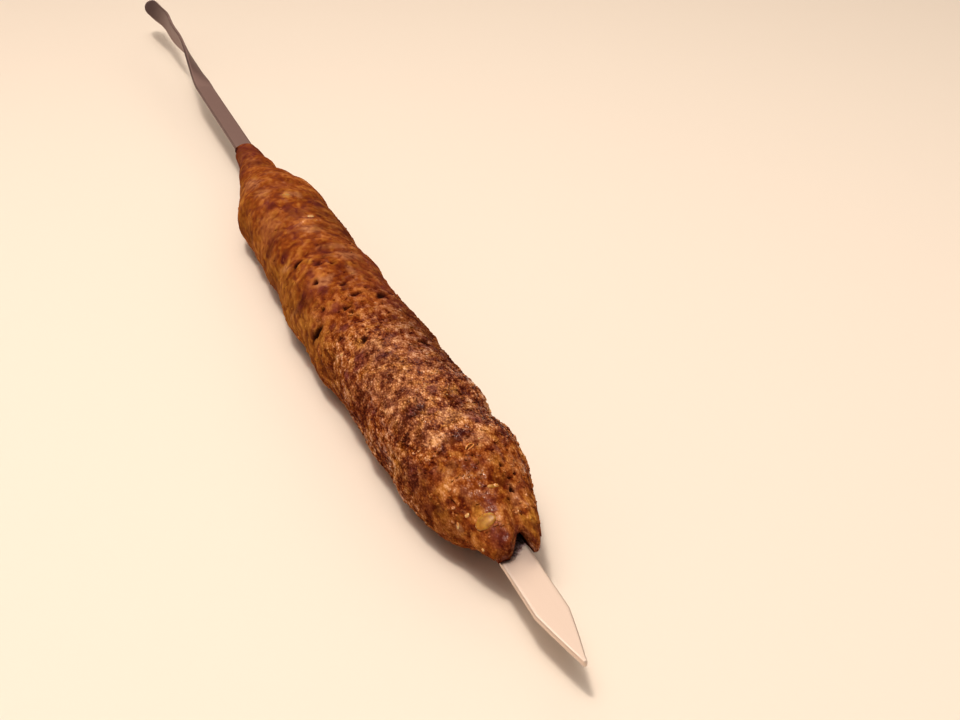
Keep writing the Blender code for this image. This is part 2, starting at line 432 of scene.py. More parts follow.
@dataclass(frozen=True)
class RollForm:
    """The meat as the hand left it: a squeezed, lumpy roll, flat where it lies."""

    strip: StripForm = StripForm()
    # A place along X, the middle's offset, the width, and the top's and underside's heights, mm.
    profile: tuple = (
        (-34, 0.0, 9.9, 17.7, 11.6),
        (-20, -0.4, 11.0, 18.6, 10.4),
        (-5, -1.2, 14.6, 20.0, 7.2),
        (15, -2.0, 22.4, 23.4, 1.9),
        (38, -2.1, 30.6, 26.6, -0.5),
        (70, -2.8, 30.2, 27.4, -0.6),
        (100, -2.9, 31.0, 28.0, -0.6),
        (130, -3.5, 32.0, 28.8, -0.6),
        (160, -2.3, 31.4, 28.7, -0.6),
        (190, -1.4, 30.4, 28.2, -0.6),
        (214, -0.8, 30.2, 27.2, -0.5),
        (232, -0.1, 25.4, 24.4, 1.9),
        (242, 0.2, 18.4, 20.4, 5.2),
        (248, 0.1, 11.4, 16.6, 8.0),
    )
    section_exponent: float = 2.25
    # Lumps and hollows: place along X in mm, angle, height, length in mm, spread in degrees.
    lumps: tuple = (
        (2, 30, -0.8, 10, 45),
        (32, 30, 0.5, 9, 40),
        (57, 205, -0.5, 9, 40),
        (92, 205, -0.6, 8, 40),
        (113, 205, 0.8, 9, 40),
        (124, 205, -0.7, 7, 35),
        (131, 30, -0.7, 9, 40),
        (138, 205, 0.5, 8, 40),
        (168, 205, -0.8, 11, 40),
        (190, 205, 0.6, 8, 35),
        (206, 25, -0.9, 5, 40),
        (218, 20, 1.0, 8, 40),
        (222, 205, 0.6, 8, 35),
    )
    # Waves left by the squeezing: wavelength in mm, waves round, height in mm, phase.
    squeeze_waves: tuple = (
        (63, 1, 0.24, 20),
        (41, 2, 0.22, 130),
        (29, -1, 0.18, 250),
        (23, 3, 0.16, 75),
        (17, -2, 0.12, 310),
        (13, 4, 0.10, 190),
    )
    wave_fade: float = 22 * MM
    channel_gap: float = 0.35 * MM
    channel_exponent: float = 8
    mouth_lift: float = 2.5 * MM
    mouth_left: float = 0.3 * MM
    mouth_left_slope: float = 1.3 * MM
    mouth_right: float = 4.6 * MM
    mouth_right_slope: float = 2.2 * MM
    lobe_press: float = 0.4 * MM
    mouth_depth: float = 8 * MM
    lobe_reach: float = 5.5 * MM
    flap_reach: float = 4.8 * MM
    underlip_set_back: float = 3.0 * MM
    lip_length: float = 9 * MM

    @property
    def start(self) -> float:
        """Where the meat begins, on the handle's side."""
        return self.profile[0][0] * MM

    @property
    def end(self) -> float:
        """Where the meat ends, on the point's side, before its lips."""
        return self.profile[-1][0] * MM

    def moulding(self, x: Array, angles: Array) -> Array:
        """How far the hand's lumps and waves stand proud of the plain roll.

        Waves are sines of the place and the angle together; a lump is a bell in both.

        Args:
            x: Places along X.
            angles: Angles round the section, of the same shape.

        Returns:
            Heights in metres.
        """
        proud = np.zeros(np.broadcast(x, angles).shape)
        for length, turns, height, phase in self.squeeze_waves:
            along = x / (length * MM) * 2 * math.pi
            proud += height * MM * np.sin(along + turns * angles + phase * DEGREE)
        proud *= smooth_step((x - self.start) / self.wave_fade)
        proud *= smooth_step((self.end - x) / self.wave_fade)
        for place, angle, height, length, spread in self.lumps:
            along = (x / MM - place) / length
            apart = turn_apart(angles, angle * DEGREE) / (spread * DEGREE)
            proud += height * MM * np.exp(-(along**2) - apart**2)
        return proud

    def lip_reach(self, y: Array, above: Array) -> Array:
        """How far the lip reaches forward: a lobe on the left, a flap on the right, less beneath.

        Args:
            y: Places across the skewer.
            above: Heights above the middle of the strip.

        Returns:
            Distances forward in metres.
        """
        lobe = self.lobe_reach * smooth_step((2.2 * MM - y) / (4.2 * MM))
        flap = self.flap_reach * smooth_step((y - 3.3 * MM) / (1.4 * MM))
        beneath = smooth_step((1.7 * MM - above) / (3 * MM))
        return (lobe + flap) * (1 - beneath) - self.underlip_set_back * beneath

    def smooth_skin(self, x: Array, angles: Array) -> Array:
        """The outer skin before the mince's own grain: a squeezed ellipse at each place.

        Args:
            x: Places along X.
            angles: Angles round the section, of the same shape.

        Returns:
            Points in the frame.
        """
        middle, width, top, underside = np.moveaxis(
            smooth_table(self.profile, x / MM) * MM, -1, 0
        )
        across, up = superellipse(angles, self.section_exponent)
        proud = self.moulding(x, angles)
        y = middle + width / 2 * across + proud * np.cos(angles)
        z = (top + underside) / 2 + (top - underside) / 2 * up + proud * np.sin(angles)
        growth = smooth_step(1 - (self.end - x) / self.lip_length)
        x = x + growth * self.lip_reach(y, z - self.strip.height(x))
        return np.stack([x, y, z], axis=-1)

    def skin_frame(self, x: Array, angles: Array) -> tuple[Array, Array, Array]:
        """The smooth skin with its directions, from differences over short steps.

        Args:
            x: Places along X.
            angles: Angles round the section, of the same shape.

        Returns:
            Points, the direction along the roll there, and the outward direction.
        """
        step, turn = 0.3 * MM, 1.0 * DEGREE
        along = unit(self.smooth_skin(x + step, angles) - self.smooth_skin(x - step, angles))
        around = unit(self.smooth_skin(x, angles + turn) - self.smooth_skin(x, angles - turn))
        return self.smooth_skin(x, angles), along, unit(np.cross(around, along))

    def channel(self, x: Array, angles: Array) -> Array:
        """The wall of the channel round the steel, which opens upwards at the mouth.

        Args:
            x: Places along X.
            angles: Angles round the section, of the same shape.

        Returns:
            Points in the frame.
        """
        along, up = superellipse(angles, self.channel_exponent)
        along = along * (self.strip.width / 2 + self.channel_gap)
        up = up * (self.strip.thickness / 2 + self.channel_gap)
        turn = self.strip.turn(self.strip.back_from(x))
        y = along * np.cos(turn) - up * np.sin(turn)
        z = along * np.sin(turn) + up * np.cos(turn)
        opening = smooth_step(1 - (self.end - x) / self.mouth_depth)
        left = smooth_step((y - self.mouth_left) / self.mouth_left_slope)
        right = smooth_step((self.mouth_right - y) / self.mouth_right_slope)
        lift = self.mouth_lift * left * right - self.lobe_press * (1 - left)
        over = np.sin(angles) > 0
        z = z + lift * opening * over
        reach = opening * self.lip_reach(y, z + self.mouth_lift * over)
        return np.stack([x + reach, y, z + self.strip.height(x)], axis=-1)


@dataclass(frozen=True)
class MinceRelief:
    """The grain of the grilled mince, its pits and its crease, on top of the roll's form."""

    # Pits: place along X in mm, angle, half length, half width and depth in mm, and the slant of
    # the length from the roll's own in degrees.
    pits: tuple = (
        (107, 131, 1.6, 1.2, 1.4, 60),
        (145, 160, 3.4, 0.9, 1.6, -68),
        (125.5, 122, 1.1, 0.8, 0.9, 0),
        (141, 133, 0.8, 0.7, 0.9, 0),
        (115, 109, 1.4, 1.0, 0.5, 30),
        (117, 95, 0.9, 0.7, 0.5, 0),
        (133.5, 98, 1.7, 0.8, 0.6, 20),
        (142, 95, 0.9, 1.3, 0.8, 0),
        (147, 112, 0.9, 0.9, 0.8, 0),
        (150, 109, 0.8, 0.7, 0.7, 0),
        (144, 73, 2.6, 1.1, 0.9, 40),
        (175, 68, 1.7, 1.6, 0.8, 0),
        (167, 117, 1.5, 0.9, 0.9, 10),
        (158.5, 138, 1.1, 1.3, 0.35, 0),
        (208, 121, 0.5, 1.7, 0.6, 10),
        (234, 75, 0.6, 0.6, 0.9, 0),
        (240.5, 72, 0.7, 0.9, 1.0, 0),
        (237.5, 70, 0.5, 0.4, 0.6, 0),
        (232, 68, 0.6, 0.4, 0.6, 0),
        (237, 149, 0.9, 0.5, 0.6, 0),
        (236, 60, 0.6, 0.6, 0.7, 0),
        (243, 80, 0.5, 0.5, 0.6, 0),
    )
    # The crease between two squeezes of the hand: angle, and place along X in mm.
    crease: tuple = (
        (0, 205),
        (45, 212.6),
        (71, 218.7),
        (91, 221.5),
        (113, 223.4),
        (138, 225.6),
        (159, 221.3),
        (180, 213),
    )
    crease_depth: float = 0.3 * MM
    crease_length: float = 1.8 * MM
    rim_height: float = 0.25 * MM
    pore_spacing: float = 5.5 * MM
    pore_share: float = 0.5
    pore_radius: float = 0.8 * MM
    pore_depth: float = 0.6 * MM
    drawn_out: float = 0.7  # squeezing draws the grain out along the roll
    # The sides thin out on the steel where the roll starts.
    feathered: float = -27.5 * MM
    feathering: float = 1.1 * MM

    def graininess(self, x: Array) -> Array:
        """How strongly the grain stands out along the roll, at most 1."""
        rows = ((-34, 0.4), (60, 0.5), (110, 0.7), (150, 0.95), (190, 1.0), (214, 1.0), (228, 0.9), (248, 0.8))
        return smooth_table(rows, x / MM)[..., 0]

    def grittiness(self, x: Array) -> Array:
        """How dry and gritty the skin is along the roll, at most 1."""
        rows = ((-34, 0.0), (80, 0.05), (120, 0.12), (145, 0.4), (166, 0.95), (190, 1.1), (216, 1.2), (228, 0.7), (248, 0.5))
        return smooth_table(rows, x / MM)[..., 0]

    def crease_place(self, angles: Array) -> Array:
        """Where the crease crosses the section at the angles, in metres along X."""
        return smooth_table(self.crease, angles / DEGREE % 360)[..., 0] * MM

    def heights(self, points: Array, x: Array, angles: Array) -> Array:
        """How far the grain stands proud of the smooth skin.

        It adds soft undulations, a billow of strands, rounded crumbs round scattered seeds and
        fine grit, then takes away pores, pits and the crease.

        Args:
            points: Points of the smooth skin.
            x: Their places along X.
            angles: Their angles round the section.

        Returns:
            Heights in metres.
        """
        points = points * [self.drawn_out, 1, 1]
        swell = layered_noise(points, 9 * MM, 2, 11) * 0.24
        strands = (0.35 - np.abs(soft_noise(points, 4.2 * MM, 23))) * 0.4
        crumb, own = nearest_seed(points, 1.9 * MM, 31)
        crumbs = (0.55 - crumb) * (0.25 + 0.35 * own)
        grit = soft_noise(points, 1.1 * MM, 43) * 0.13
        coarse = self.graininess(x)
        grain = (strands + (crumbs + grit) * coarse) * coarse
        height = (swell + grain) * MM

        pore, own = nearest_seed(points, self.pore_spacing, 57)
        depth = np.exp(-((pore * self.pore_spacing / self.pore_radius) ** 2))
        height -= self.pore_depth * depth * (own < self.pore_share) * self.graininess(x)
        height -= self.pit_depths(x, angles)

        place = self.crease_place(angles)
        over = smooth_step(1.6 * np.sin(angles) - 0.5)
        across = (x - place) / self.crease_length
        height -= self.crease_depth * over * np.exp(-(across**2))
        height += self.rim_height * over * np.exp(-((across + 1.7) ** 2))

        fade = smooth_step((248 * MM - x) / (7 * MM)) * 0.6 + 0.4
        height *= fade * smooth_step((x + 36 * MM) / (12 * MM))
        start = smooth_step((self.feathered - x) / (6.5 * MM))
        return height - self.feathering * start * np.cos(angles) ** 2

    def pit_depths(self, x: Array, angles: Array) -> Array:
        """How deep the single pits are at places and angles: slanted, flat-bottomed bells."""
        depth = np.zeros(x.shape)
        for place, angle, length, width, deep, slant in self.pits:
            ahead = x / MM - place
            aside = turn_apart(angles, angle * DEGREE) * 15.2
            along = ahead * math.cos(slant * DEGREE) + aside * math.sin(slant * DEGREE)
            across = aside * math.cos(slant * DEGREE) - ahead * math.sin(slant * DEGREE)
            ragged = 1 + 0.25 * np.sin(3 * np.arctan2(across, along) + place)
            out = np.hypot(along / length, across / width) * ragged
            depth = np.maximum(depth, deep * MM * np.exp(-(out**4)))
        return depth


# --- Finishes ----------------------------------------------------------------------------------


class Tint(Enum):
    """Colours that single patches of the meat take on."""

    RAW = "raw"  # dense lean meat: dark and purple-red
    CHAR_AND_SHADE = "char_and_shade"  # scorched, and painted shade in pits, the slit, the mouth and shaded flanks
    TAN = "tan"  # dry, paler crust
    FAT = "fat"  # soaked with melted yellow fat


@dataclass(frozen=True)
class GrilledMince:
    """Minced meat grilled over coals: pale dry grit over moist red-brown hollows.

    The tops of the grain dry out and turn tan, the hollows stay dark and red, partly as painted shade,
    and melted fat leaves a broken gloss.
    """

    hollow: str = "#3C0E03"
    shade: str = "#5C2008"
    body: str = "#874518"
    crust: str = "#B3713C"
    crumb: str = "#E8B48C"
    raw: tuple[str, str] = ("#42120A", "#823E30")
    # Scorched colour, used also as painted shade in pits, the mouth and shaded flanks.
    char_and_shade: str = "#1A0603"
    tan: tuple[str, str] = ("#8A4E28", "#DCA87C")
    fat: tuple[str, str] = ("#74400C", "#D49A40")
    grit_size: float = 0.5 * MM
    fleck_size: float = 1.4 * MM
    mottle_size: float = 3.2 * MM
    blotch_size: float = 6.5 * MM
    drawn_out: float = 0.7  # squeezing draws every mark out along the roll

    def material(self) -> bpy.types.Material:
        """Build the material, which reads the relief, the grain and the tints of each vertex."""
        material, tree = new_material("grilled_minced_meat")
        place = add_node(tree, "ShaderNodeTexCoord").outputs["Object"]
        place = add_node(
            tree, "ShaderNodeMapping", {"Vector": place, "Scale": (self.drawn_out, 1, 1)}
        ).outputs["Vector"]
        relief, grain, basted, raw, char_and_shade, tan, fat = (
            add_node(tree, "ShaderNodeAttribute", attribute_name=title).outputs["Fac"]
            for title in ("relief", "grain", "basted", "raw", "char_and_shade", "tan", "fat")
        )
        flecks, blotches = (
            add_node(
                tree,
                "ShaderNodeTexNoise",
                {"Vector": place, "Scale": 1 / size, "Detail": detail, "Roughness": 0.6},
            ).outputs["Fac"]
            for size, detail in ((self.fleck_size, 0), (self.blotch_size, 2))
        )
        cells = add_node(
            tree, "ShaderNodeTexVoronoi", {"Vector": place, "Scale": 1 / self.grit_size}
        )
        own = add_node(
            tree, "ShaderNodeSeparateColor", {"Color": cells.outputs["Color"]}
        ).outputs["Red"]
        # Each grit cell is paler at its middle and darker at its edge, partly painted highlight and shade between
        # grains, and takes a tone of its own.
        grit = weighted_sum(tree, 0.6, ((cells.outputs["Distance"], -0.6), (own, 0.35)))
        speckle = add_node(
            tree, "ShaderNodeMath", {0: grit, 1: grain}, operation="MULTIPLY"
        ).outputs[0]
        patchy = add_node(
            tree, "ShaderNodeMath", {0: flecks, 1: grain}, operation="MULTIPLY"
        ).outputs[0]
        mottle = add_node(
            tree,
            "ShaderNodeTexNoise",
            {"Vector": place, "Scale": 1 / self.mottle_size, "Detail": 2, "Distortion": 0.6},
        ).outputs["Fac"]
        lean, oily = (
            add_node(
                tree,
                "ShaderNodeMapRange",
                {"Value": mottle, "From Min": low, "From Max": high, "To Min": 0.0, "To Max": most},
            ).outputs["Result"]
            for low, high, most in ((0.53, 0.64, 0.55), (0.47, 0.36, 0.4))
        )
        raw = weighted_sum(tree, 0.0, ((raw, flecks), (raw, 0.5), (lean, 1.0)))
        fat = weighted_sum(tree, 0.0, ((fat, flecks), (fat, 0.5), (oily, 1.0)))
        # A low relief gives a darker level: partly painted shade in the hollows, partly the paler dry tops.
        centred = weighted_sum(
            tree,
            -0.79,
            (
                (mottle, -0.5),
                (relief, 0.7),
                (speckle, 1.0),
                (grain, -0.72),
                (flecks, 0.25),
                (patchy, 0.5),
                (blotches, 1.08),
            ),
        )
        calm = weighted_sum(tree, 0.6, ((grain, 0.18),))
        level = add_node(
            tree, "ShaderNodeMath", {0: centred, 1: calm, 2: 0.51}, operation="MULTIPLY_ADD"
        ).outputs[0]
        stops = (
            (0.0, self.hollow),
            (0.28, self.shade),
            (0.5, self.body),
            (0.72, self.crust),
            (1.0, self.crumb),
        )
        colour = add_node(tree, "ShaderNodeValToRGB", {"Fac": level}, stops).outputs["Color"]
        tints = ((tan, self.tan, 0.6), (fat, self.fat, 0.6), (raw, self.raw, 0.85))
        for share, (dark, pale), most in tints:
            share = add_node(
                tree, "ShaderNodeMath", {0: share, 1: most}, operation="MULTIPLY", use_clamp=True
            ).outputs[0]
            stops = ((0.2, dark), (0.8, pale))
            tint = add_node(tree, "ShaderNodeValToRGB", {"Fac": level}, stops).outputs["Color"]
            inputs = {0: share, 6: colour, 7: tint}
            colour = add_node(tree, "ShaderNodeMix", inputs, data_type="RGBA").outputs[2]
        # Mix in the char tint: scorching, and painted shade in pits, the mouth and the flanks.
        inputs = {0: char_and_shade, 6: colour, 7: linear_colour(self.char_and_shade)}
        colour = add_node(tree, "ShaderNodeMix", inputs, data_type="RGBA").outputs[2]
        shares = ((flecks, 0.4), (blotches, 0.4), (speckle, 0.2), (grain, 0.12), (char_and_shade, -0.4), (basted, 0.16))
        wet = weighted_sum(tree, -0.21, shares)
        film = add_node(
            tree,
            "ShaderNodeMapRange",
            {"Value": wet, "From Min": 0.44, "From Max": 0.6, "To Min": 0.0, "To Max": 0.9},
        ).outputs["Result"]
        bumps = weighted_sum(tree, 0.0, ((speckle, 1.0), (flecks, 0.3)))
        bump = add_node(
            tree, "ShaderNodeBump", {"Height": bumps, "Strength": 1.0, "Distance": 0.25 * MM}
        ).outputs["Normal"]
        shader = add_node(
            tree,
            "ShaderNodeBsdfPrincipled",
            {
                "Base Color": colour,
                "Roughness": 0.9,
                "Normal": bump,
                "IOR": 1.45,
                "Specular IOR Level": 0.04,
                "Coat Weight": film,
                "Coat Roughness": 0.2,
                "Coat IOR": 1.33,
                "Coat Normal": bump,
            },
        )
        add_node(tree, "ShaderNodeOutputMaterial", {"Surface": shader.outputs["BSDF"]})
        return material


@dataclass(frozen=True)
class RolledSteel:
    """Cold-rolled stainless strip, dulled by the grill: a soft, slightly warm mirror."""

    bright: str = "#EBDCD0"
    # Painted darker reflection: the steel's colour towards the handle.
    painted_dim: str = "#8E7672"
    grease: str = "#9A8082"
    burnt_juice: str = "#5A4038"
    rolling_line: float = 0.35 * MM

    def material(self) -> bpy.types.Material:
        """Build the material, with rolling lines drawn out along the strip."""
        material, tree = new_material("cold_rolled_steel")
        place = add_node(tree, "ShaderNodeTexCoord").outputs["Object"]
        painted_dimming, grease = (
            add_node(tree, "ShaderNodeAttribute", attribute_name=title).outputs["Fac"]
            for title in ("painted_dimming", "grease")
        )
        stretched = add_node(
            tree,
            "ShaderNodeMapping",
            {"Vector": place, "Scale": (0.02 / self.rolling_line, 1 / self.rolling_line, 1 / self.rolling_line)},
        ).outputs["Vector"]
        lines = add_node(
            tree, "ShaderNodeTexNoise", {"Vector": stretched, "Scale": 1.0, "Detail": 2}
        ).outputs["Fac"]
        cloud = add_node(
            tree, "ShaderNodeTexNoise", {"Vector": place, "Scale": 1 / (9 * MM), "Detail": 3}
        ).outputs["Fac"]
        # Painted darker reflection: the colour dims towards the handle by the mask.
        painted_dim = {0: painted_dimming, 6: linear_colour(self.bright), 7: linear_colour(self.painted_dim)}
        colour = add_node(tree, "ShaderNodeMix", painted_dim, data_type="RGBA").outputs[2]
        smear, streaks = (
            add_node(
                tree, "ShaderNodeTexNoise", {"Vector": place, "Scale": 1 / size, "Detail": 3}
            ).outputs["Fac"]
            for size in (1.6 * MM, 0.5 * MM)
        )
        film = weighted_sum(tree, -0.9, ((grease, 1.4), (smear, 1.4)))
        grease = add_node(
            tree, "ShaderNodeMath", {0: film, 1: grease}, operation="MULTIPLY", use_clamp=True
        ).outputs[0]
        dark = add_node(
            tree, "ShaderNodeMapRange", {"Value": streaks, "From Min": 0.42, "From Max": 0.58}
        ).outputs["Result"]
        juices = {0: dark, 6: linear_colour(self.burnt_juice), 7: linear_colour(self.grease)}
        juice = add_node(tree, "ShaderNodeMix", juices, data_type="RGBA").outputs[2]
        greased = {0: grease, 6: colour, 7: juice}
        colour = add_node(tree, "ShaderNodeMix", greased, data_type="RGBA").outputs[2]
        metal = weighted_sum(tree, 1.0, ((grease, -0.8),))
        roughness = weighted_sum(tree, 0.5, ((lines, 0.06), (cloud, 0.1), (painted_dimming, -0.1)))
        bump = add_node(
            tree, "ShaderNodeBump", {"Height": lines, "Strength": 0.15, "Distance": 0.02 * MM}
        ).outputs["Normal"]
        shader = add_node(
            tree,
            "ShaderNodeBsdfPrincipled",
            {"Base Color": colour, "Metallic": metal, "Roughness": roughness, "Normal": bump},
        )
        add_node(tree, "ShaderNodeOutputMaterial", {"Surface": shader.outputs["BSDF"]})
        return material


@dataclass(frozen=True)
class CookedMorsel:
    """Onion or fat cooked through in the meat: soft, glossy and half see-through."""

    name: str = "cooked_onion"
    body: str = "#96601A"
    pale: str = "#BA8832"
    roughness: float = 0.3

    def material(self) -> bpy.types.Material:
        """Build the material, with cloudy layers a millimetre apart."""
        material, tree = new_material(self.name)
        place = add_node(tree, "ShaderNodeTexCoord").outputs["Object"]
        cloud = add_node(
            tree, "ShaderNodeTexNoise", {"Vector": place, "Scale": 1 / (1.2 * MM), "Detail": 2}
        ).outputs["Fac"]
        stops = ((0.3, self.body), (0.7, self.pale))
        colour = add_node(tree, "ShaderNodeValToRGB", {"Fac": cloud}, stops).outputs["Color"]
        shader = add_node(
            tree,
            "ShaderNodeBsdfPrincipled",
            {
                "Base Color": colour,
                "Roughness": self.roughness,
                "IOR": 1.45,
                "Subsurface Weight": 0.35,
                "Subsurface Scale": 1.0 * MM,
            },
        )
        add_node(tree, "ShaderNodeOutputMaterial", {"Surface": shader.outputs["BSDF"]})
        return material


@dataclass(frozen=True)
class PaleFloor:
    """A matt, warm white table top."""

    colour: str = "#E3D9CD"

    def material(self) -> bpy.types.Material:
        """Build the material: a plain matt colour."""
        material, tree = new_material("pale_table")
        shader = add_node(
            tree,
            "ShaderNodeBsdfPrincipled",
            {"Base Color": linear_colour(self.colour), "Roughness": 0.8, "Specular IOR Level": 0.2},
        )
        add_node(tree, "ShaderNodeOutputMaterial", {"Surface": shader.outputs["BSDF"]})
        return material


# --- Sub-assemblies ----------------------------------------------------------------------------


